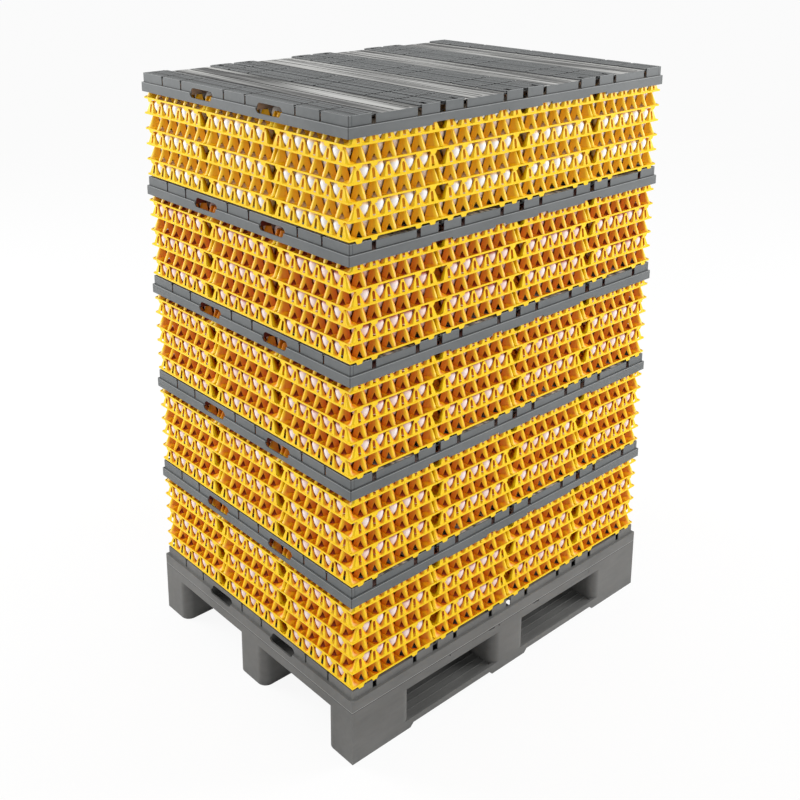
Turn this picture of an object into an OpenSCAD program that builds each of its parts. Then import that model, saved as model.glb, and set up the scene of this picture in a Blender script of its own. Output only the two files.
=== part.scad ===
/* [Egg tray] */
// Side of one square tray, over its rim
tray_side = 300; // [296:1:306]
// Height that each tray adds to its stack
tray_pitch = 44.7; // [42:0.1:52]
// Spacing of the egg cells, centre to centre
cell_pitch = 47.8; // [46:0.1:48.4]
// Width of a row of posts at its top
post_top = 18; // [12:1:24]
// Depth of the egg cups below the rim
cup_depth = 5.5; // [3:0.5:9]
// How far the cups stand inside the rim
cup_inset = 12; // [6:1:20]
// Thickness of the rim
rim_thick = 5; // [3:0.5:8]

/* [Load] */
// Stacks of trays along the pallet
stacks_long = 4; // [3:1:4]
// Stacks of trays across the pallet
stacks_wide = 3; // [3:1:4]
// Gap between neighbouring stacks
stack_gap = 1; // [0.6:0.2:4]
// Clearance under each tray and under each divider
seat_gap = 0.3; // [0.2:0.1:0.6]

/* [Divider] */
// Height that each divider adds between two tiers
deck_height = 33.8; // [31:0.1:40]
// Height of the band above the skirt's shoulder
band_height = 26.3; // [24:0.1:27.5]
// Thickness of the deck plate
deck_plate = 4; // [3.5:0.5:6]
// Height of the raised ribs on the deck
rib_rise = 4.5; // [2:0.5:6]
// Thickness of the band, of its ribs and of the frame walls
wall = 3; // [2:0.5:4]
// Height of the skirt that hangs over the trays below
skirt_height = 26.2; // [20:0.1:34]
// Thickness of the skirt
skirt_wall = 2.7; // [2:0.1:4]
// Side clearance between the skirt and the trays inside it
skirt_clear = 0.8; // [0.5:0.1:3]
// Width of the step between the skirt and the band above it
band_step = 4.5; // [4.2:0.1:6]
// Length of a hand slot
slot_length = 104; // [80:1:106]
// Height of a hand slot
slot_height = 26; // [20:1:27]
// Width of the upright openings in the long sides of the band
window_width = 14; // [8:1:16]
// Width of the same openings at a seam between stacks
seam_window = 20; // [12:1:24]
// Distance of the outer long-side openings from a seam between stacks
window_offset = 77.5; // [70:0.5:80]
// Width of the upright slits in the short sides of the band
slit_width = 6; // [4:1:8]
// Width of the deep groove over a seam between stacks
seam_groove = 12; // [8:1:14]
// Distance of the end pits in the deck from a seam between stacks
pit_offset = 51; // [49:1:54]
// Width of the end pits in the deck
pit_width = 18; // [10:1:20]
// Width of the notch in the long skirts under a seam
seam_notch = 74; // [50:1:90]
// Width of the two notches nearer to the middle
middle_notch = 40; // [20:1:60]
// Distance of those two notches from the middle
middle_notch_x = 85; // [70:1:100]
// Height of the notches
notch_rise = 6; // [3:0.5:9]

/* [Pallet] */
// Height at which the tops of the posts would stand under the pallet's deck
pallet_height = 183.8; // [180:0.1:230]
// How far the pallet stands out past the band all round
pallet_over = 7.5; // [5:0.5:12]
// Height of the parting between the deck frame and the base
parting_height = 158; // [150:1:164]
// Height of the free space under the deck
fork_height = 130; // [110:1:140]
// Width of the two outer runners
outer_runner = 108; // [100:1:130]
// Width of the middle runner
middle_runner = 126; // [110:1:160]
// Length of an end block
end_block = 209; // [180:1:230]
// Length of a middle block
middle_block = 142; // [120:1:180]
// Radius of the upright corners of the blocks
block_radius = 28; // [12:1:36]
// Height of the runners above the floor
runner_lift = 11; // [6:1:16]
// Thickness of the runners
runner_thick = 18; // [14:1:26]
// Wall of the hollow blocks and of the base frame
base_wall = 5; // [4:0.5:8]

/* [Hidden] */
TIERS = 5;
LEVELS = 6;
POST_ROWS = 6;
function divider_name(t) = str("divider_", t);
function tray_name(t, n) = str("trays_tier", t, "_level", n);

// Plan of the load
stack_pitch = tray_side + stack_gap;
load_long = stacks_long * stack_pitch - stack_gap;
load_wide = stacks_wide * stack_pitch - stack_gap;
skirt_long = load_long + 2 * (skirt_clear + skirt_wall);
skirt_wide = load_wide + 2 * (skirt_clear + skirt_wall);
band_long = skirt_long - 2 * band_step;
band_wide = skirt_wide - 2 * band_step;
pallet_long = band_long + 2 * pallet_over;
pallet_wide = band_wide + 2 * pallet_over;

// Heights within a divider, measured from the tops of the posts below it
deck_top = deck_height - seat_gap;
field_top = deck_top - rib_rise;
plate_low = field_top - deck_plate;
shoulder = deck_top - band_height;
skirt_low = shoulder - skirt_height;
tier_height = deck_height + LEVELS * tray_pitch;

// Grooves of the deck, which all run across the load
seam_ribs = 26;
fine_groove = 5;
edge_groove = 6;
field_step = 50;
field_groove = 7;
field_depth = 2;
groove_end = 12;
pit_end = 26;
cross_groove = 10;

// Small recesses in the pallet's long faces, placed along the pallet from its
// middle and up from the parting
clip_depth = 6;
clip_high = 5;
clip_z = -3;
left_clip_x = -77;
left_clip_long = 22;
right_clip_x = 118;
right_clip_long = 26;
pin_size = 5;
pin_z = -5;
outer_pin_x = -249;
inner_pin_x = -46;
field_x = 328;
field_z = -11;
field_long = 90;
field_high = 12;
relief_depth = 0.6;

// Flats of a full round
round_facets = 48;
pin_facets = 24;

// Places
function stack_x(i) = (i - (stacks_long - 1) / 2) * stack_pitch;
function stack_y(j) = (j - (stacks_wide - 1) / 2) * stack_pitch;
function seam_x(i) = (i - stacks_long / 2) * stack_pitch;
function seam_y(j) = (j - stacks_wide / 2) * stack_pitch;
function divider_z(t) = pallet_height + t * tier_height;
function tray_z(t, n) = divider_z(t - 1) + deck_height + (n - 1) * tray_pitch;

// Margin by which a cutting tool runs past what it cuts
cut = 1;

// ---------- Egg trays ----------

tray_half = tray_side / 2;
rim_top = cup_depth + rim_thick;
post_height = tray_pitch - seat_gap;
function post_x(i) = (i - (POST_ROWS - 1) / 2) * cell_pitch;

// Outline of a tray across its rows of posts: cups, rim, then one peak to a row
tray_outline = concat(
    [[-tray_half + cup_inset, 0], [-tray_half + cup_inset, cup_depth],
     [-tray_half, cup_depth], [-tray_half, rim_top]],
    [for (i = [0 : POST_ROWS - 1]) each concat(
        [[post_x(i) - post_top / 2, post_height], [post_x(i) + post_top / 2, post_height]],
        i < POST_ROWS - 1 ? [[post_x(i) + cell_pitch / 2, rim_top]] : [])],
    [[tray_half, rim_top], [tray_half, cup_depth],
     [tray_half - cup_inset, cup_depth], [tray_half - cup_inset, 0]]);

module tray(turned)
    rotate([90, 0, turned ? 90 : 0])
        linear_extrude(tray_side, center = true)
            polygon(tray_outline);

// One level of a tier: a tray in every stack, turned a quarter on every other level
module tray_level(t, n)
    color("gold")
        for (i = [0 : stacks_long - 1], j = [0 : stacks_wide - 1])
            translate([stack_x(i), stack_y(j), tray_z(t, n)])
                tray(n % 2 == 1);

// ---------- Deck of a divider and of the pallet ----------

// Closed frame wall, seen from above
module ring(long, wide, thick)
    difference() {
        square([long, wide], center = true);
        square([long - 2 * thick, wide - 2 * thick], center = true);
    }

// Straight cutter across the deck that stops short of both long sides
module groove(x, width, floor_z, stop)
    translate([x, 0, floor_z])
        linear_extrude(deck_height)
            square([width, band_wide - 2 * stop], center = true);

// Lower field in the middle of a tray, with three thin grooves
module field(x) {
    groove(x, stack_pitch - 2 * window_offset, field_top, -cut);
    for (k = [-1 : 1])
        groove(x + k * field_step, field_groove, field_top - field_depth, groove_end);
}

// Grooves between the ribs over a seam, with a pit at both ends of the outer ones
module seam_grooves(x) {
    groove(x, seam_groove, plate_low + deck_plate / 2, wall);
    for (side = [-1, 1]) {
        groove(x + side * seam_ribs, fine_groove, field_top, wall);
        groove(x + side * pit_offset, edge_groove, field_top, wall);
        for (far = [-1, 1])
            translate([x + side * pit_offset, far * (band_wide / 2 - wall - pit_end / 2),
                       plate_low + deck_plate / 2])
                linear_extrude(deck_height)
                    square([pit_width, pit_end], center = true);
    }
}

// Shallow cuts along the load that notch the ribs over each row of slits
module cross_grooves()
    for (j = [0 : stacks_wide - 1], side = [-1, 1])
        translate([0, stack_y(j) + side * cell_pitch, field_top])
            linear_extrude(deck_height)
                square([band_long + 2 * cut, cross_groove], center = true);

module deck()
    difference() {
        translate([0, 0, plate_low])
            linear_extrude(deck_top - plate_low)
                square([band_long, band_wide], center = true);
        for (i = [0 : stacks_long - 1])
            field(stack_x(i));
        for (i = [1 : stacks_long - 1])
            seam_grooves(seam_x(i));
        for (side = [-1, 1])
            groove(side * (load_long / 2 - seam_ribs), fine_groove, field_top, wall);
        cross_grooves();
    }

// Ribs under the deck, over every other row of posts
module deck_ribs(low)
    for (j = [0 : stacks_wide - 1], k = [-1 : 1])
        translate([0, stack_y(j) + 2 * k * cell_pitch, low])
            linear_extrude(plate_low + cut - low)
                square([band_long - wall, wall], center = true);

// Upright cutter through the band, from its shoulder to the open air
module band_cutter(size_x, size_y)
    translate([0, 0, shoulder])
        linear_extrude(deck_height)
            square([size_x, size_y], center = true);

// Openings in the long sides and slits in the short sides, kept to the band's wall
module band_openings()
    difference() {
        union() {
            for (i = [1 : stacks_long - 1], side = [-1 : 1])
                translate([seam_x(i) + side * window_offset, 0, 0])
                    band_cutter(side == 0 ? seam_window : window_width, band_wide + 2 * cut);
            for (side = [-1, 1])
                translate([side * (load_long / 2 - window_offset), 0, 0])
                    band_cutter(window_width, band_wide + 2 * cut);
            for (j = [0 : stacks_wide - 1], side = [-1, 1])
                translate([0, stack_y(j) + side * cell_pitch, 0])
                    band_cutter(band_long + 2 * cut, slit_width);
        }
        linear_extrude(2 * deck_height)
            square([band_long - 2 * wall, band_wide - 2 * wall], center = true);
    }

// Long slot with round ends, through both short sides
module hand_slot(y)
    translate([0, y, shoulder])
        rotate([0, 90, 0])
            linear_extrude(pallet_long + 2 * cut, center = true)
                union() {
                    for (side = [-1, 1])
                        translate([0, side * (slot_length - slot_height) / 2])
                            circle(d = slot_height, $fn = round_facets);
                    square([slot_height, slot_length - slot_height], center = true);
                }

// Hand slots at the seams, kept to a depth from the short sides
module hand_slots(long, depth)
    difference() {
        for (j = [1 : stacks_wide - 1])
            hand_slot(seam_y(j));
        cube([long - 2 * depth, pallet_wide, 4 * deck_height], center = true);
    }

// Deck and band, standing on a frame that reaches down to a given level
module decked_frame(long, wide, low, thick)
    difference() {
        union() {
            deck();
            translate([0, 0, shoulder - wall]) {
                linear_extrude(plate_low + cut + wall - shoulder)
                    ring(band_long, band_wide, wall);
                linear_extrude(wall)
                    ring(long, wide, (long - band_long) / 2 + wall);
            }
            translate([0, 0, low])
                linear_extrude(shoulder - low)
                    ring(long, wide, thick);
        }
        band_openings();
        hand_slots(long, (long - band_long) / 2 + wall);
    }

module skirt_notch(x, width)
    translate([x, 0, skirt_low])
        cube([width, skirt_wide + 2 * cut, 2 * notch_rise], center = true);

// Notches in the lower edge of both long skirts, none of them in the middle
module skirt_notches() {
    for (i = [1 : stacks_long - 1])
        if (abs(seam_x(i)) > cell_pitch)
            skirt_notch(seam_x(i), seam_notch);
    for (side = [-1, 1])
        skirt_notch(side * middle_notch_x, middle_notch);
}

module divider(t)
    color("dimgray")
        translate([0, 0, divider_z(t)])
            difference() {
                union() {
                    decked_frame(skirt_long, skirt_wide, skirt_low, skirt_wall);
                    deck_ribs(0);
                }
                skirt_notches();
            }

// ---------- Pallet ----------

deck_frame_low = parting_height + seat_gap - pallet_height;

module pallet_deck()
    color("dimgray")
        translate([0, 0, pallet_height])
            union() {
                decked_frame(pallet_long, pallet_wide, deck_frame_low, base_wall);
                deck_ribs(deck_frame_low);
            }

// Blocks as [centre, length] along the pallet and [centre, width] across it
block_cols = [for (s = [-1 : 1])
    s == 0 ? [0, middle_block] : [s * (pallet_long - end_block) / 2, end_block]];
block_rows = [for (s = [-1 : 1])
    s == 0 ? [0, middle_runner] : [s * (pallet_wide - outer_runner) / 2, outer_runner]];

module rounded_plan(size_x, size_y, radius)
    union() {
        for (sx = [-1, 1], sy = [-1, 1])
            translate([sx * (size_x / 2 - radius), sy * (size_y / 2 - radius)])
                circle(r = radius, $fn = round_facets);
        square([size_x - 2 * radius, size_y], center = true);
        square([size_x, size_y - 2 * radius], center = true);
    }

// Block with round upright corners, except at a corner of the pallet
module block(col, row)
    linear_extrude(fork_height + cut)
        translate([col[0], row[0]])
            union() {
                rounded_plan(col[1], row[1], block_radius);
                if (col[0] != 0 && row[0] != 0)
                    translate([sign(col[0]) * (col[1] - block_radius) / 2,
                               sign(row[0]) * (row[1] - block_radius) / 2])
                        square(block_radius, center = true);
            }

module block_pocket(col, row)
    translate([col[0], row[0], runner_lift + runner_thick])
        linear_extrude(parting_height)
            rounded_plan(col[1] - 2 * base_wall, row[1] - 2 * base_wall, block_radius - base_wall);

// Side of a runner, which slopes down to the floor at each block
runner_top = runner_lift + runner_thick;
end_edge = pallet_long / 2 - end_block;
middle_edge = middle_block / 2;
half_runner = [
    [middle_edge, 0], [middle_edge + runner_lift, runner_lift],
    [end_edge - runner_lift, runner_lift], [end_edge, 0],
    [pallet_long / 2 - block_radius, 0], [pallet_long / 2 - block_radius, runner_top]];
runner_side = concat(half_runner,
    [for (k = [len(half_runner) - 1 : -1 : 0]) [-half_runner[k][0], half_runner[k][1]]]);

runner_lip = 8;
runner_dish = 3;
runner_flutes = 4;
flute_gap = 2;

// Runner with a raised lip along both edges and shallow flutes between the lips
module runner(row) {
    flute_pitch = (row[1] - 2 * runner_lip) / runner_flutes;
    translate([0, row[0], 0])
        difference() {
            rotate([90, 0, 0])
                linear_extrude(row[1], center = true)
                    polygon(runner_side);
            for (k = [0 : runner_flutes - 1], s = [-1, 1])
                translate([s * (middle_edge + end_edge) / 2,
                           (k - (runner_flutes - 1) / 2) * flute_pitch, runner_top])
                    cube([end_edge - middle_edge, flute_pitch - flute_gap, 2 * runner_dish],
                         center = true);
        }
}

// Grid of ribs that stiffens the base under its sheet, in this many cells
grid_cols = 12;
grid_rows = 8;
module base_grid() {
    for (i = [1 : grid_cols - 1])
        translate([(i / grid_cols - 1 / 2) * pallet_long, 0])
            square([wall, pallet_wide - base_wall], center = true);
    for (j = [1 : grid_rows - 1])
        translate([0, (j / grid_rows - 1 / 2) * pallet_wide])
            square([pallet_long - base_wall, wall], center = true);
}

// Recess in a long face, given along the pallet, up from the parting, and its size
module face_recess(x, z, size_x, size_z, depth)
    translate([x, -pallet_wide / 2, parting_height + z])
        cube([size_x, 2 * depth, size_z], center = true);

// Clip slots, pin holes and a shallow label field in a long face
module face_details() {
    face_recess(left_clip_x, clip_z, left_clip_long, clip_high, clip_depth);
    face_recess(right_clip_x, clip_z, right_clip_long, clip_high, clip_depth);
    face_recess(field_x, field_z, field_long, field_high, relief_depth);
    for (x = [outer_pin_x, inner_pin_x])
        translate([x, -pallet_wide / 2, parting_height + pin_z])
            rotate([90, 0, 0])
                cylinder(d = pin_size, h = 2 * clip_depth, center = true, $fn = pin_facets);
}

module pallet_base()
    color("dimgray")
        difference() {
            union() {
                translate([0, 0, fork_height])
                    linear_extrude(parting_height - fork_height)
                        union() {
                            ring(pallet_long, pallet_wide, base_wall);
                            base_grid();
                        }
                translate([0, 0, parting_height - base_wall])
                    linear_extrude(base_wall)
                        square([pallet_long, pallet_wide], center = true);
                for (col = block_cols, row = block_rows)
                    block(col, row);
                for (row = block_rows)
                    runner(row);
            }
            for (col = block_cols, row = block_rows)
                block_pocket(col, row);
            for (turn = [0, 180])
                rotate(turn)
                    face_details();
        }

// ---------- Assembly ----------

pallet_base();
pallet_deck();
for (t = [1 : TIERS]) {
    divider(t);
    for (n = [1 : LEVELS])
        tray_level(t, n);
}
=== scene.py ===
"""A loaded egg transport pallet: open egg trays in five tiers, with divider decks between and on top.

Sizes are in metres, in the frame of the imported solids: +Z up, X along the pallet's long side.
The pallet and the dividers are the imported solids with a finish. The trays and eggs are modelled here.
"""

import math

import bpy
import numpy as np
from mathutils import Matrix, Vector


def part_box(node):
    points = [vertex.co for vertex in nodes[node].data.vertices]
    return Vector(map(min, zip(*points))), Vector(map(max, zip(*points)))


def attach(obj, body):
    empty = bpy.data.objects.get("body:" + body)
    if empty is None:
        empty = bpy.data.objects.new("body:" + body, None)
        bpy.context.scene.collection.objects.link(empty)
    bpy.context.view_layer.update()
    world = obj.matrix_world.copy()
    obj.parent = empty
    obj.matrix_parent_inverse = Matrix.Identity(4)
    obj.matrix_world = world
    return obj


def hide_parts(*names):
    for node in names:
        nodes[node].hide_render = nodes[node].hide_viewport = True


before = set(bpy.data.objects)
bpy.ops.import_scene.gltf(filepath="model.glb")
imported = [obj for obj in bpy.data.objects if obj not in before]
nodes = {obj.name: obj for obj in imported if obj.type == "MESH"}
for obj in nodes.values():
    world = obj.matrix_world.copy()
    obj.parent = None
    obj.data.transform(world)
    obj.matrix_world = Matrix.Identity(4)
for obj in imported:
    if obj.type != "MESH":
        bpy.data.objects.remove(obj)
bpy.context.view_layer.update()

# ---------- Sizes ----------

TIERS = 5
LEVELS = 6
STACKS_LONG = 4
STACKS_WIDE = 3
STACK_GAP = 0.001
CELL = 0.0478
POSTS_FEW = 6
POSTS_MANY = 7

tray_low, tray_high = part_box("trays_tier1_level1")
TRAY = (tray_high.x - tray_low.x - (STACKS_LONG - 1) * STACK_GAP) / STACKS_LONG
STACK = TRAY + STACK_GAP
POST_TOP = tray_high.z - tray_low.z
RIM_LOW = 0.0055
RIM_TOP = 0.0105
RIM_WALL = 0.0016
TAB_LOW = -0.0025
TAB_WALL = 0.0007
CUP_FLOOR = 0.001

# Height above which a divider's skirt covers the posts of a tier's top level, where they get painted shade
COVERED = 0.028

# Distance from the outermost posts to the rim, at a tray's closed sides and at its leaning sides
CLOSED_EDGE = TRAY / 2 - (POSTS_MANY - 1) / 2 * CELL
LEANING_EDGE = TRAY / 2 - (POSTS_FEW - 1) / 2 * CELL

# Heights of the saddles between neighbouring posts, along the closed and along the leaning sides
CLOSED_SADDLE = 0.0124
LEANING_SADDLE = 0.0104
PLATE_LEAN = 0.17

# Heights of a front plate's slot and of a flank's window, the slot's half width at the rim, and the
# window's place along the flank
SLOT = (0.0124, 0.0376)
SLOT_HALF = 0.0044
WINDOW = (0.0072, 0.0222)
WINDOW_PLACE = 0.45

# Heights of the outlines down a post, and how far the outline between two arms curves in
CLOSED_RINGS = (0.0405, 0.0376, 0.0360, 0.0325, 0.0230, 0.0124)
LEANING_RINGS = (0.0370, 0.0300, 0.0262, 0.0222, 0.0150, 0.0072, 0.0045)
PLAIN_RINGS = (0.0300, 0.0124)
CUP_SHARE = 0.36

EGG_HEIGHT = 0.0570
EGG_RADIUS = 0.0222
EGG_LIFT = 0.002
# Height above which the tray above covers an egg, where its shell gets painted shade
EGG_TOP_HIDDEN = 0.046
EGG_OUTWARDS = 0.004

# Height above which a point belongs to the top tier
TOP_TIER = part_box("trays_tier5_level1")[0].z - 0.005

# Step between a divider's skirt and the band above it, and the drop from its deck to that step
BAND_STEP = 0.0045
SHOULDER_DROP = 0.0263

# ---------- Meshes ----------


class Shape:
    """Copies of small grids gathered into one mesh."""

    def __init__(self):
        self.points, self.faces, self.tints, self.count = [], [], [], 0

    def add(self, points, faces, tints, places):
        """Puts a copy of the points and faces at each place.

        Faces are arrays of three or four corners. Tints go to the points of each copy, or one to each copy.
        """
        places = np.asarray(places, float).reshape(-1, 3)
        starts = self.count + len(points) * np.arange(len(places))
        self.points.append((points[None] + places[:, None]).reshape(-1, 3))
        for corners in faces:
            self.faces.append((corners[None] + starts[:, None, None]).reshape(-1, corners.shape[1]))
        self.tints.append(np.broadcast_to(tints, (len(places), len(points))).ravel())
        self.count += len(points) * len(places)

    def turn(self):
        """Turns everything gathered so far a quarter about the upright axis."""
        self.points = [np.stack([-p[:, 1], p[:, 0], p[:, 2]], 1) for p in self.points]

    def make(self, name, finish, sharp):
        """Makes the mesh and its object, smooth except over edges sharper than the given angle in degrees."""
        points = np.concatenate(self.points)
        corners = np.concatenate([f.ravel() for f in self.faces]).astype(np.int32)
        sides = np.concatenate([np.full(len(f), f.shape[1]) for f in self.faces])
        starts = np.concatenate([[0], np.cumsum(sides)[:-1]]).astype(np.int32)
        mesh = bpy.data.meshes.new(name)
        mesh.vertices.add(len(points))
        mesh.vertices.foreach_set("co", points.astype(np.float32).ravel())
        mesh.loops.add(len(corners))
        mesh.loops.foreach_set("vertex_index", corners)
        mesh.polygons.add(len(sides))
        mesh.polygons.foreach_set("loop_start", starts)
        mesh.update(calc_edges=True)
        mesh.validate()
        mesh.polygons.foreach_set("use_smooth", np.ones(len(mesh.polygons), bool))
        mesh.set_sharp_from_angle(angle=math.radians(sharp))
        # The tint attribute carries painted shade, and for eggs each egg's own tone as well
        tint = mesh.attributes.new("tint", "FLOAT", "POINT")
        tint.data.foreach_set("value", np.concatenate(self.tints).astype(np.float32))
        mesh.materials.append(finish)
        piece = bpy.data.objects.new(name, mesh)
        bpy.context.scene.collection.objects.link(piece)
        return piece


def grid_faces(rows, cols, wrap=False, keep=None):
    """Quads between neighbouring rows and columns of a grid.

    Where keep is false a quad is left out, and wrap joins the last column to the first.
    """
    row, col = np.meshgrid(np.arange(rows - 1), np.arange(cols if wrap else cols - 1), indexing="ij")
    right = (col + 1) % cols
    low, high = row * cols, (row + 1) * cols
    quads = np.stack([low + col, high + col, high + right, low + right], -1)
    return quads[keep] if keep is not None else quads.reshape(-1, 4)


# ---------- Egg trays ----------


def arm_reach(z, leaning):
    """How far a post's arms reach towards its neighbours, down to the saddle where two posts' arms meet.

    With d the drop from the top over the drop to the saddle, and c half a cell, it is
    c (0.21 + 0.79 d^1.2), or c (0.46 + 0.54 d) for the arms along a leaning side, and 0.97 c at the most.
    """
    if leaning:
        share = 0.46 + 0.54 * (POST_TOP - z) / (POST_TOP - LEANING_SADDLE)
    else:
        share = 0.21 + 0.79 * ((POST_TOP - z) / (POST_TOP - CLOSED_SADDLE)) ** 1.2
    return CELL / 2 * min(share, 0.97)


def plate_front(z):
    """Distance of a closed side's front plates from the posts' middle: they lean back from the rim."""
    return max(CLOSED_EDGE - 0.0003 - PLATE_LEAN * max(z - RIM_TOP, 0), 0.0012)


def plate_half_width(z, reach):
    """Half the width of a front plate: a share of the arms' reach that shrinks downwards."""
    return reach * (0.86 - 0.24 * (POST_TOP - z) / (POST_TOP - CLOSED_SADDLE))


def nose_reach(z):
    """How far a leaning side's post reaches towards the rim: a straight nose line."""
    return 0.0085 + 0.41 * (POST_TOP - z)


def slot_half_width(z):
    """Half the width of the slot in a front plate: upright sides under a half-round top."""
    half = 0.00435
    rise = min(max(z - (SLOT[1] - half), 0), half)
    return max(math.sqrt(half**2 - rise**2), 0.0003)


def window_half_width(z):
    """Half the width of the pointed window in a leaning post's flank.

    It is 5.0 mm (1 - h)^0.8, where h goes from 0 at the window's foot to 1 at its point.
    """
    left = max((WINDOW[1] - z) / (WINDOW[1] - WINDOW[0]), 0)
    return max(0.0050 * left**0.8, 0.0003)


def leaning_outline(z, reach):
    """A leaning post's outline: a flat nose that widens downwards, then a flank to the tip of the arm.

    With s the share of the way along the flank, it lies 1 - s^1.7 times as far out as the nose.
    The window's two edges and its middle are points of the flank.
    """
    nose, half = nose_reach(z), window_half_width(z)
    edge = 0.0010 + 0.03 * (POST_TOP - z)
    middle = edge + WINDOW_PLACE * (reach - edge)
    across = [middle - half, middle, middle + half]
    flank = [(nose * (1 - ((v - edge) / (reach - edge)) ** 1.7), v) for v in across]
    return [(nose, 0.0), (nose, edge), *flank, (0.0, reach)]


def quarter(z, kinds, leaning):
    """A quarter of a post's outline at one height, from its first direction to its second.

    Kinds name the side that lies in each direction: inner, closed or leaning; leaning tells which of the
    two arms run along a leaning side. Between two arms the outline curves in around a cup. From a nose it
    runs past the window's edge to the arm, and before a closed side it follows the front plate.
    """
    first, second = kinds
    if second == "leaning" or first == "closed":
        return [(v, u, h) for u, v, h in quarter(z, (second, first), leaning[::-1])[::-1]]
    reach = [arm_reach(z, side) for side in leaning]
    tips = [max(z, LEANING_SADDLE if side else CLOSED_SADDLE) for side in leaning]
    if second == "closed":
        front, half = plate_front(z), slot_half_width(z)
        if first == "leaning":
            nose = nose_reach(z)
            wide = max(nose * 0.9, half + 0.002)
            start = [(nose, 0.0), ((nose + wide) / 2, front / 2)]
        else:
            wide = max(plate_half_width(z, reach[0]), half + 0.001)
            start = [(reach[0], 0.0), ((reach[0] + wide) / 2, front * 0.4)]
        outline = start + [(wide, front), ((wide + half) / 2, front), (half, front), (0.0, front)]
        heights = [z if first == "leaning" else tips[0]] + [z] * 5
    elif first == "leaning":
        outline = leaning_outline(z, reach[1])
        heights = [z] * 5 + [tips[1]]
    else:
        share = CUP_SHARE * (1 + 1.9 * max(CLOSED_SADDLE - z, 0) / (CLOSED_SADDLE - CUP_FLOOR))
        outline = [(reach[0], 0.0), (share * reach[0], share * reach[1]), (0.0, reach[1])]
        heights = [tips[0], z, tips[1]]
    return [(u, v, h) for (u, v), h in zip(outline, heights)]


def quarter_depths(kinds, closed):
    """How deep in the load a quarter's points lie: 0 outside, 1 on a flank, 2 inside. It sets their tint, the
    amount of painted shade.
    """
    if kinds[1] == "leaning" or kinds[0] == "closed":
        return quarter_depths(kinds[::-1], closed)[::-1]
    if kinds[1] == "closed":
        return [0.0] * 6 if kinds[0] == "leaning" else [1.0, 0.7, 0.0, 0.0, 0.0, 0.0]
    if kinds[0] == "leaning":
        return [0.0, 0.0, 0.8, 1.0, 0.7, 1.2]
    return [1.0, 1.3, 1.0] if closed else [1.6, 2.0, 1.6]


def quarter_border(kinds, leaning):
    """The same quarter's points on the border of the post's own field, over the cup floor or along the rim."""
    first, second = kinds
    if second == "leaning" or first == "closed":
        return [(v, u, h) for u, v, h in quarter_border((second, first), leaning[::-1])[::-1]]
    cell, rim, front = CELL / 2, LEANING_EDGE - RIM_WALL / 2, CLOSED_EDGE - RIM_WALL / 2
    saddles = [LEANING_SADDLE if side else CLOSED_SADDLE for side in leaning]
    low, high = RIM_LOW + 0.0005, RIM_TOP
    if second == "closed" and first == "leaning":
        return [(rim, 0, low), (rim, 0.003, low), *((u, front, high) for u in (rim, rim / 2, SLOT_HALF, 0))]
    if second == "closed":
        return [(cell, 0, saddles[0]), *((u, front, high) for u in (cell, 0.016, 0.010, SLOT_HALF, 0))]
    if first == "leaning":
        along_rim = [(rim, v, low) for v in (0, 0.005, 0.011, cell)]
        return [*along_rim, (0.012, cell, saddles[1]), (0, cell, saddles[1])]
    return [(cell, 0, saddles[0]), (cell, cell, CUP_FLOOR), (0, cell, saddles[1])]


def post(side_x, side_y, rings):
    """One post with its quarter of the four cells around it, on a grid of outline points by rings.

    A side's sign tells where the post stands next to the rim: x is a leaning side, y a closed one.
    The last ring is the border of the post's own field. The quads inside its openings are left out.
    """
    kinds = ["leaning" if side_x > 0 else "inner", "closed" if side_y > 0 else "inner",
             "leaning" if side_x < 0 else "inner", "closed" if side_y < 0 else "inner"]
    leaning = [False, side_x != 0] * 2
    turns = [(1, 0), (0, 1), (-1, 0), (0, -1)]
    grid = []
    for z in (POST_TOP, *rings, None):
        ring, starts = [], []
        for k, (cos, sin) in enumerate(turns):
            pair, slopes = (kinds[k], kinds[(k + 1) % 4]), (leaning[k], leaning[(k + 1) % 4])
            points = quarter_border(pair, slopes) if z is None else quarter(z, pair, slopes)
            starts.append(len(ring))
            ring += [(u * cos - v * sin, u * sin + v * cos, h) for u, v, h in points[:-1]]
        grid.append(ring)
    depths = []
    for k in range(4):
        depths += quarter_depths((kinds[k], kinds[(k + 1) % 4]), side_y != 0)[:-1]
    # Tints are painted shade by depth in the load: half as much on the field's border, full at the cap
    tints = np.array([*(depths * (len(grid) - 1)), *(0.5 * d for d in depths), 1.0])
    around = len(grid[0])
    levels = (POST_TOP, *rings, -1.0)
    keep = np.ones((len(grid) - 1, around), bool)
    for k, start in enumerate(starts):
        if kinds[k] == "closed":
            (low, high), gone = SLOT, [start - 1, start]
        elif kinds[k] == "leaning":
            low, high = WINDOW
            ahead = [start + 2, start + 3] * (kinds[(k + 1) % 4] == "inner")
            gone = ahead + [start - 4, start - 3] * (kinds[k - 1] == "inner")
        else:
            continue
        for row in range(len(grid) - 1):
            if levels[row] <= high and levels[row + 1] >= low:
                keep[row, np.array(gone) % around] = False
    points = np.concatenate([np.array(grid).reshape(-1, 3), [[0.0, 0.0, POST_TOP]]])
    column = np.arange(around)
    cap = np.stack([np.full(around, len(points) - 1), column, (column + 1) % around], 1)
    return points, [grid_faces(len(grid), around, wrap=True, keep=keep), cap], tints


def box_band(low, high, half_x, half_y, wall):
    """The rim: a closed square tube round the tray, as four rings of four corners."""
    corners = np.array([[1, 1], [-1, 1], [-1, -1], [1, -1]])
    rows = []
    for inset, z in ((0.0, high), (0.0, low), (wall, low), (wall, high), (0.0, high)):
        rows.append(np.column_stack([corners * [half_x - inset, half_y - inset], np.full(4, z)]))
    return np.concatenate(rows), [grid_faces(5, 4, wrap=True)]


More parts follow.
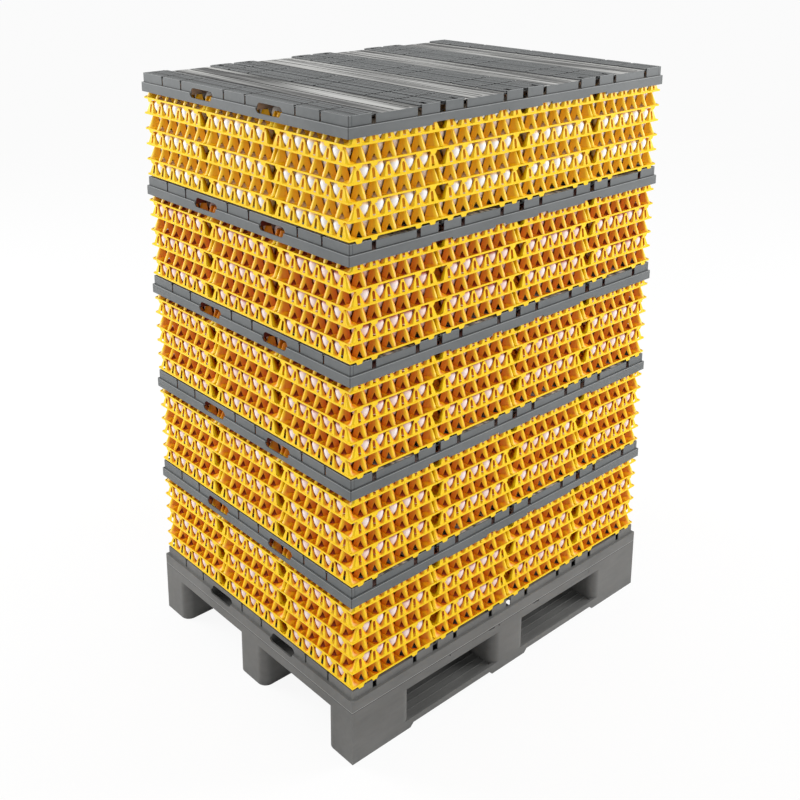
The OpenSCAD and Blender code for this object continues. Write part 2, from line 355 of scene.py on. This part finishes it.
def tab(side_x):
    """A tapered tab under a leaning side's rim: a front and a back outline joined all round."""
    outline = np.array([[-0.0115, RIM_LOW], [-0.0070, TAB_LOW], [0.0070, TAB_LOW], [0.0115, RIM_LOW]])
    layers = []
    for inset in (0.0, TAB_WALL):
        layers.append(np.column_stack([np.full(4, side_x * (TRAY / 2 - inset)), outline]))
    points = np.concatenate(layers)
    quads = np.array([[0, 1, 2, 3], [7, 6, 5, 4], [0, 4, 5, 1], [1, 5, 6, 2], [2, 6, 7, 3], [3, 7, 4, 0]])
    return points, [quads if side_x > 0 else quads[:, ::-1]]


def stack_places(turned):
    """Places of the stacks in a tray level's own frame, and which sides of each lie on the load's outside."""
    for i in range(STACKS_LONG):
        for j in range(STACKS_WIDE):
            x, y = (i - (STACKS_LONG - 1) / 2) * STACK, (j - (STACKS_WIDE - 1) / 2) * STACK
            west, east = i == 0, i == STACKS_LONG - 1
            south, north = j == 0, j == STACKS_WIDE - 1
            if turned:
                yield y, -x, south, north, east, west
            else:
                yield x, y, west, east, south, north


def sorted_by_rank(count_x, count_y, turned):
    """Yields every point of the trays' lattice with how many rows it lies inside the load's outside."""
    for x, y, low_x, high_x, low_y, high_y in stack_places(turned):
        for i in range(count_x):
            for k in range(count_y):
                rows_in = ((i, low_x), (count_x - 1 - i, high_x), (k, low_y), (count_y - 1 - k, high_y))
                ranks = [rank for rank, outside in rows_in if outside]
                place = (x + (i - (count_x - 1) / 2) * CELL, y + (k - (count_y - 1) / 2) * CELL)
                yield place, i, k, min(ranks, default=9)


def tray_level(name, base, turned, open_above, finish):
    """All the trays of one level: fine posts with openings round the outside, plainer ones further in."""
    shape = Shape()
    wanted = {}
    for place, i, k, rank in sorted_by_rank(POSTS_FEW, POSTS_MANY, turned):
        side_x = (i == POSTS_FEW - 1) - (i == 0)
        side_y = (k == POSTS_MANY - 1) - (k == 0)
        at_edge = side_x or side_y
        coarse = "plain" if rank < 2 or open_above else "hidden"
        grade = "fine" if rank == 0 or open_above and at_edge else coarse
        wanted.setdefault((side_x, side_y, grade), []).append((*place, base))
    for (side_x, side_y, grade), places in wanted.items():
        if grade == "fine":
            points, faces, depths = post(side_x, side_y, CLOSED_RINGS if side_y else LEANING_RINGS)
            # Painted shade on the top level's posts where the divider's skirt covers them
            if open_above:
                depths = np.where(points[:, 2] > COVERED, 1.0, depths)
            shape.add(points, faces, depths, places)
        elif grade == "plain":
            points, faces, depths = post(0, 0, PLAIN_RINGS)
            # Plainer posts get a lighter painted shade
            shape.add(points, faces, 0.55 * depths, places)
        else:
            shape.add(*post(0, 0, PLAIN_RINGS[1:]), places)
    centres = [(x, y, base) for x, y, *_ in stack_places(turned)]
    shape.add(*box_band(RIM_LOW, RIM_TOP, TRAY / 2, TRAY / 2, RIM_WALL), 0.0, centres)
    for side in (-1, 1):
        points, faces = tab(side)
        places = [(x, y + cell * CELL, z) for x, y, z in centres for cell in (-2.5, -1.5, 1.5, 2.5)]
        shape.add(points, faces, 0.0, places)
    if turned:
        shape.turn()
    return shape.make(name, finish, 40)


# ---------- Eggs ----------


def egg(around, rings):
    """An egg standing on its small end: r = R sin t (1 - 0.13 cos t) and z = H (1 - cos t) / 2."""
    t = np.linspace(0, math.pi, rings + 2)[1:-1]
    angles = np.arange(around) * 2 * math.pi / around
    radius = EGG_RADIUS * np.sin(t) * (1 - 0.13 * np.cos(t))
    height = EGG_LIFT + EGG_HEIGHT * (1 - np.cos(t)) / 2
    flat = [np.outer(radius, np.cos(angles)), np.outer(radius, np.sin(angles))]
    ring = np.stack([*flat, np.outer(height, np.ones(around))], -1)
    points = np.concatenate([ring.reshape(-1, 3), [[0, 0, EGG_LIFT], [0, 0, EGG_LIFT + EGG_HEIGHT]]])
    column, last = np.arange(around), (rings - 1) * around
    right = (column + 1) % around
    foot = np.stack([np.full(around, rings * around), right, column], 1)
    crown = np.stack([np.full(around, rings * around + 1), last + column, last + right], 1)
    return points, [grid_faces(rings, around, wrap=True)[:, ::-1], foot, crown]


def egg_level(name, base, turned, open_above, finish, rng):
    """The eggs of one level, each with its own tint, in the cells between the posts.

    Next to a closed side they stand nearer to the rim. Painted shade grows towards the top, where the tray
    above covers an egg, and grows less in the top level of a tier.
    """
    shape = Shape()
    wanted = {}
    for (x, y), _, k, rank in sorted_by_rank(POSTS_FEW - 1, POSTS_MANY - 1, turned):
        grade = min(rank, 1 if open_above else 2)
        outwards = (k == POSTS_MANY - 2) - (k == 0)
        wanted.setdefault(grade, []).append((x, y + outwards * EGG_OUTWARDS, base))
    for grade, places in wanted.items():
        around, rings = ((12, 6), (8, 4), (5, 2))[grade]
        points, faces = egg(around, rings)
        # Painted shade on the egg's top where the tray above covers it; in the top level it fades in from a
        # third of the height
        depths = 2.0 * (points[:, 2] > EGG_TOP_HIDDEN)
        if open_above:
            depths = 0.9 * np.clip((points[:, 2] - EGG_LIFT) / EGG_HEIGHT * 1.5 - 0.5, 0, 1)
        shape.add(points, faces, rng.random((len(places), 1)) + depths, places)
    if turned:
        shape.turn()
    return shape.make(name, finish, 60)


# ---------- Finishes ----------


class Link:
    """A value in a finish; sums and products on it add their Math nodes."""

    def __init__(self, finish, socket):
        self.finish, self.socket = finish, socket

    def math(self, operation, *others):
        return self.finish.node("ShaderNodeMath", {"operation": operation}, dict(enumerate((self, *others))))

    def __add__(self, other):
        return self.math("ADD", other)

    def __sub__(self, other):
        return self.math("SUBTRACT", other)

    def __rsub__(self, other):
        return self.finish.node("ShaderNodeMath", {"operation": "SUBTRACT"}, {0: other, 1: self})

    def __mul__(self, other):
        return self.math("MULTIPLY", other)

    __radd__, __rmul__ = __add__, __mul__

    def between(self, low, high):
        """1 where the value is between low and high, 0 elsewhere."""
        return self.math("GREATER_THAN", low) * self.math("LESS_THAN", high)

    def fade(self, low, high):
        """0 below low, 1 above high, straight between."""
        values = {"Value": self, "From Min": low, "From Max": high}
        return self.finish.node("ShaderNodeMapRange", {"clamp": True}, values)


class Finish:
    """A material with one Principled shader, whose nodes come from one method."""

    def __init__(self, name):
        self.material = bpy.data.materials.new(name)
        self.material.use_nodes = True
        self.tree = self.material.node_tree
        self.shader = self.tree.nodes["Principled BSDF"]

    def node(self, kind, settings=None, values=None, output=0):
        """Adds a node, sets its settings, then sets or links its sockets."""
        made = self.tree.nodes.new(kind)
        for key, value in (settings or {}).items():
            setattr(made, key, value)
        for key, value in (values or {}).items():
            self.put(made.inputs[key], value)
        return Link(self, made.outputs[output])

    def put(self, socket, value):
        if isinstance(value, Link):
            self.tree.links.new(value.socket, socket)
        else:
            socket.default_value = value

    def set(self, **values):
        """Sets or links sockets of the Principled shader; underscores stand for spaces."""
        for key, value in values.items():
            self.put(self.shader.inputs[key.replace("_", " ")], value)

    def place(self):
        return self.node("ShaderNodeTexCoord", output="Object")

    def axis(self, name):
        """One coordinate of the object's frame."""
        return self.node("ShaderNodeSeparateXYZ", None, {"Vector": self.place()}, output=name)

    def stretch(self, scale):
        return self.node("ShaderNodeMapping", None, {"Vector": self.place(), "Scale": scale})

    def noise(self, scale, detail=2.0, vector=None):
        values = {"Vector": vector or self.place(), "Scale": scale, "Detail": detail}
        return self.node("ShaderNodeTexNoise", None, values)

    def mix(self, factor, first, second):
        """A colour between two colours."""
        return self.node("ShaderNodeMix", {"data_type": "RGBA"}, {0: factor, 6: first, 7: second}, output=2)

    def bump(self, height, strength, distance):
        return self.node("ShaderNodeBump", None, {"Height": height, "Strength": strength, "Distance": distance})


def tray_plastic():
    """Glossy yellow moulded plastic with faint flow marks, and painted shade: deeper orange on the flanks and
    brown inside, paler in the top tier.
    """
    finish = Finish("tray_plastic")
    cloud = finish.noise(9.0, 3.0)
    yellow = finish.mix(cloud.fade(0.35, 0.7), (0.94, 0.61, 0.002, 1), (0.98, 0.68, 0.004, 1))
    shade_amount = finish.node("ShaderNodeAttribute", {"attribute_name": "tint"}, output="Fac")
    top = finish.axis("Z").between(TOP_TIER, 10.0)
    # Painted shade: deeper orange on the flanks, dark red-brown inside the load, both paler in the top tier
    deep = finish.mix(top, (0.80, 0.245, 0.003, 1), (0.94, 0.50, 0.006, 1))
    inside_shade = finish.mix(top, (0.50, 0.050, 0.004, 1), (0.90, 0.40, 0.010, 1))
    flank = finish.mix(shade_amount.fade(0.0, 0.9), yellow, deep)
    colour = finish.mix(shade_amount.fade(1.0, 2.0), flank, inside_shade)
    flow = finish.noise(320.0, 2.0)
    finish.set(Base_Color=colour, Roughness=cloud * 0.12 + 0.36, Normal=finish.bump(flow, 0.15, 0.0004))
    finish.set(Specular_IOR_Level=0.3)
    return finish.material


def egg_shell():
    """Matt eggshell with fine pores: white in the top tier, pale pink below, and painted shade where a tray
    covers it, red below the top tier and tan in it.
    """
    finish = Finish("egg_shell")
    tint = finish.node("ShaderNodeAttribute", {"attribute_name": "tint"}, output="Fac")
    top = finish.axis("Z").between(TOP_TIER, 10.0)
    pink = finish.mix(tint.fade(0.0, 1.0), (0.93, 0.82, 0.79, 1), (0.93, 0.70, 0.64, 1))
    shell = finish.mix(top, pink, (0.93, 0.92, 0.92, 1))
    # Painted shade where a tray covers the egg: dark red, tan in the top tier
    hidden = finish.mix(top, (0.42, 0.050, 0.008, 1), (0.92, 0.66, 0.36, 1))
    pores = finish.noise(900.0, 2.0)
    finish.set(Base_Color=finish.mix(tint.fade(1.0, 2.0), shell, hidden))
    finish.set(Roughness=pores * 0.1 + 0.45, Normal=finish.bump(pores, 0.12, 0.0002))
    return finish.material


def worn_grey(finish, dark, light):
    """Cloudy, streaked grey, with the bump and the roughness of worn recycled plastic."""
    cloud = finish.noise(5.0, 4.0)
    streak = finish.noise(60.0, 2.0, finish.stretch((0.25, 1.0, 1.0)))
    grain = finish.noise(700.0, 2.0)
    mixed = cloud * 0.6 + streak * 0.3 + grain * 0.1
    finish.set(Roughness=streak * 0.2 + 0.42, Normal=finish.bump(grain, 0.2, 0.0004), Specular_IOR_Level=0.3)
    return finish.mix(mixed.fade(0.35, 0.65), (*dark, 1), (*light, 1))


def pallet_plastic():
    """Grey plastic with a dark parting line under a pale edge, a painted highlight."""
    finish = Finish("pallet_plastic")
    grey = worn_grey(finish, (0.120, 0.120, 0.116), (0.175, 0.174, 0.168))
    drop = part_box("pallet_base")[1].z - finish.axis("Z")
    colour = finish.mix(drop.between(0.0, 0.0018) * 0.8, grey, (0.02, 0.02, 0.02, 1))
    # Painted highlight: a pale edge just above the parting line
    colour = finish.mix(drop.between(-0.0022, 0.0) * 0.6, colour, (0.42, 0.42, 0.41, 1))
    finish.set(Base_Color=colour)
    return finish.material


def divider_plastic():
    """Grey plastic: pale streaked fields between grooves dark with painted shade, pale edges that are painted
    highlights, and dark lines of painted shade in the corners.

    All dividers share it: the drop below a deck's top is the height below the top one's, modulo one tier.
    """
    finish = Finish("divider_plastic")
    grey = worn_grey(finish, (0.115, 0.124, 0.126), (0.155, 0.163, 0.165))
    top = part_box("divider_5")[1].z
    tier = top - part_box("divider_4")[1].z
    margin = 0.001
    drop = (top + margin - finish.axis("Z")).math("MODULO", tier) - margin
    x, y = finish.axis("X").math("ABSOLUTE"), finish.axis("Y").math("ABSOLUTE")
    band_x, band_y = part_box("divider_5")[1].x - BAND_STEP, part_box("divider_5")[1].y - BAND_STEP
    inside = x.math("LESS_THAN", band_x - 0.002) * y.math("LESS_THAN", band_y - 0.002)
    on_deck = inside * drop.math("LESS_THAN", 0.0088)
    worn = finish.noise(14.0, 4.0, finish.stretch((4.0, 0.12, 1.0))).fade(0.4, 0.62)
    pale = finish.mix(worn, (0.10, 0.10, 0.098, 1), (0.66, 0.66, 0.64, 1))
    colour = finish.mix(on_deck * drop.between(0.0041, 0.0049), grey, pale)
    # Painted shade: dark bands across the rib tops where grooves lie, each with a painted highlight on a pale
    # stripe beside it
    rib_tops = inside * drop.math("LESS_THAN", 0.0004)
    across = finish.axis("X").math("PINGPONG", 0.015)
    colour = finish.mix(rib_tops * across.between(0.0045, 0.0065), colour, (0.42, 0.43, 0.43, 1))
    colour = finish.mix(rib_tops * across.math("LESS_THAN", 0.0045) * 0.9, colour, (0.02, 0.02, 0.02, 1))
    # Painted shade: dark rib walls and near-black grooves below the fields
    colour = finish.mix(on_deck * drop.between(0.0010, 0.0041), colour, (0.03, 0.032, 0.034, 1))
    colour = finish.mix(on_deck * drop.math("GREATER_THAN", 0.0050), colour, (0.012, 0.012, 0.012, 1))
    # Painted highlights: pale lines along the top edges and along the skirt's top edge under the shoulder
    edges = drop.between(0.0001, 0.0010) + drop.between(SHOULDER_DROP + 0.0002, SHOULDER_DROP + 0.0016)
    colour = finish.mix(edges * 0.6, colour, (0.42, 0.43, 0.43, 1))
    # Painted shade: dark lines down the band's corners and the skirt's corners and in the crease above the
    # shoulder, with the seam line beside each corner
    corner = x.math("GREATER_THAN", band_x - 0.0014) * y.math("GREATER_THAN", band_y - 0.0014)
    seam = x.between(band_x - 0.0110, band_x - 0.0096) * y.math("GREATER_THAN", band_y - 0.001)
    on_band = drop.math("LESS_THAN", SHOULDER_DROP)
    skirt = (1 - on_band) * x.math("GREATER_THAN", band_x + BAND_STEP - 0.0014)
    skirt = skirt * y.math("GREATER_THAN", band_y + BAND_STEP - 0.0014)
    crease = drop.between(SHOULDER_DROP - 0.0018, SHOULDER_DROP - 0.0001)
    lines = (corner * on_band).math("MAXIMUM", seam * on_band)
    lines = lines.math("MAXIMUM", skirt).math("MAXIMUM", crease)
    colour = finish.mix(lines * 0.85, colour, (0.02, 0.02, 0.02, 1))
    # Painted shade inside the divider, under its deck: dark red, paler brown in the top divider
    within = inside * drop.math("GREATER_THAN", 0.0090)
    upper = finish.axis("Z").between(top - tier / 2, 10.0)
    inner = finish.mix(upper, (0.17, 0.03, 0.02, 1), (0.50, 0.36, 0.27, 1))
    finish.set(Base_Color=finish.mix(within, colour, inner))
    return finish.material


# ---------- Building ----------

yellow = tray_plastic()
shell = egg_shell()
divider_grey = divider_plastic()
pallet_grey = pallet_plastic()

for node_name, node in nodes.items():
    if not node_name.startswith("trays"):
        for slot in node.material_slots:
            slot.material = divider_grey if node_name.startswith("divider") else pallet_grey

rng = np.random.default_rng(30)
for tier in range(1, TIERS + 1):
    for level in range(1, LEVELS + 1):
        label = f"tier{tier}_level{level}"
        node_name = f"trays_{label}"
        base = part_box(node_name)[0].z
        turned = level % 2 == 1
        top = level == LEVELS
        trays = tray_level(f"tray_shells_{label}", base, turned, top, yellow)
        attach(trays, f"tier_{tier}")
        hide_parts(node_name)
        eggs = egg_level(f"eggs_{label}", base, turned, top, shell, rng)
        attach(eggs, f"tier_{tier}")

# ---------- Floor, light and camera ----------


def plane(name, half, finish):
    mesh = bpy.data.meshes.new(name)
    corners = [(-half, -half, 0), (half, -half, 0), (half, half, 0), (-half, half, 0)]
    mesh.from_pydata(corners, [], [(0, 1, 2, 3)])
    mesh.materials.append(finish)
    made = bpy.data.objects.new(name, mesh)
    bpy.context.scene.collection.objects.link(made)
    return made


def floor_finish():
    """A pale floor that the camera sees nearly white, and that keeps the object's shadow."""
    finish = Finish("floor")
    finish.set(Base_Color=(0.86, 0.86, 0.86, 1), Roughness=0.9)
    path = finish.node("ShaderNodeLightPath", output="Is Camera Ray")
    glow = finish.node("ShaderNodeEmission", None, {"Color": (1, 1, 1, 1), "Strength": 1.0})
    out = finish.tree.nodes["Material Output"]
    diffuse = Link(finish, finish.shader.outputs[0])
    mixed = finish.node("ShaderNodeMixShader", None, {0: path * 0.92, 1: diffuse, 2: glow})
    finish.put(out.inputs["Surface"], mixed)
    return finish.material


def area_light(name, place, target, size, power):
    lamp = bpy.data.lights.new(name, "AREA")
    lamp.shape, lamp.size, lamp.energy = "SQUARE", size, power
    made = bpy.data.objects.new(name, lamp)
    made.location = place
    towards = np.array(target) - np.array(place)
    away = math.atan2(towards[1], towards[0]) - math.pi / 2
    made.rotation_euler = (math.acos(-towards[2] / np.linalg.norm(towards)), 0, away)
    bpy.context.scene.collection.objects.link(made)


def white_world():
    """A grey sky that lights the object and that the camera sees white."""
    world = bpy.data.worlds.new("studio")
    world.use_nodes = True
    bpy.context.scene.world = world
    tree = world.node_tree
    path = tree.nodes.new("ShaderNodeLightPath")
    mixer = tree.nodes.new("ShaderNodeMix")
    seen = tree.nodes.new("ShaderNodeMath")
    seen.operation = "MAXIMUM"
    tree.links.new(path.outputs["Is Camera Ray"], seen.inputs[0])
    tree.links.new(path.outputs["Is Transmission Ray"], seen.inputs[1])
    tree.links.new(seen.outputs[0], mixer.inputs[0])
    mixer.inputs[2].default_value = 0.62
    mixer.inputs[3].default_value = 1.0
    background = tree.nodes["Background"]
    background.inputs["Color"].default_value = (1, 1, 1, 1)
    tree.links.new(mixer.outputs[0], background.inputs["Strength"])


plane("floor", 30, floor_finish())
white_world()
area_light("light_right", (4.2, -2.6, 2.6), (0.2, -0.2, 0.9), 2.2, 215)
area_light("light_left", (-2.6, 4.2, 2.6), (-0.2, 0.2, 0.9), 2.2, 215)

camera = bpy.data.cameras.new("camera")
camera.sensor_width = 36
camera.lens = 49.554
camera.shift_x = 0.0254
camera.shift_y = -0.2561
eye = bpy.data.objects.new("camera", camera)
eye.location = (-2.1618, -2.3106, 2.1812)
eye.rotation_euler = (math.radians(90 - 14.684), 0, math.radians(-41.662))
bpy.context.scene.collection.objects.link(eye)
bpy.context.scene.camera = eye
bpy.context.scene.view_settings.view_transform = "Standard"
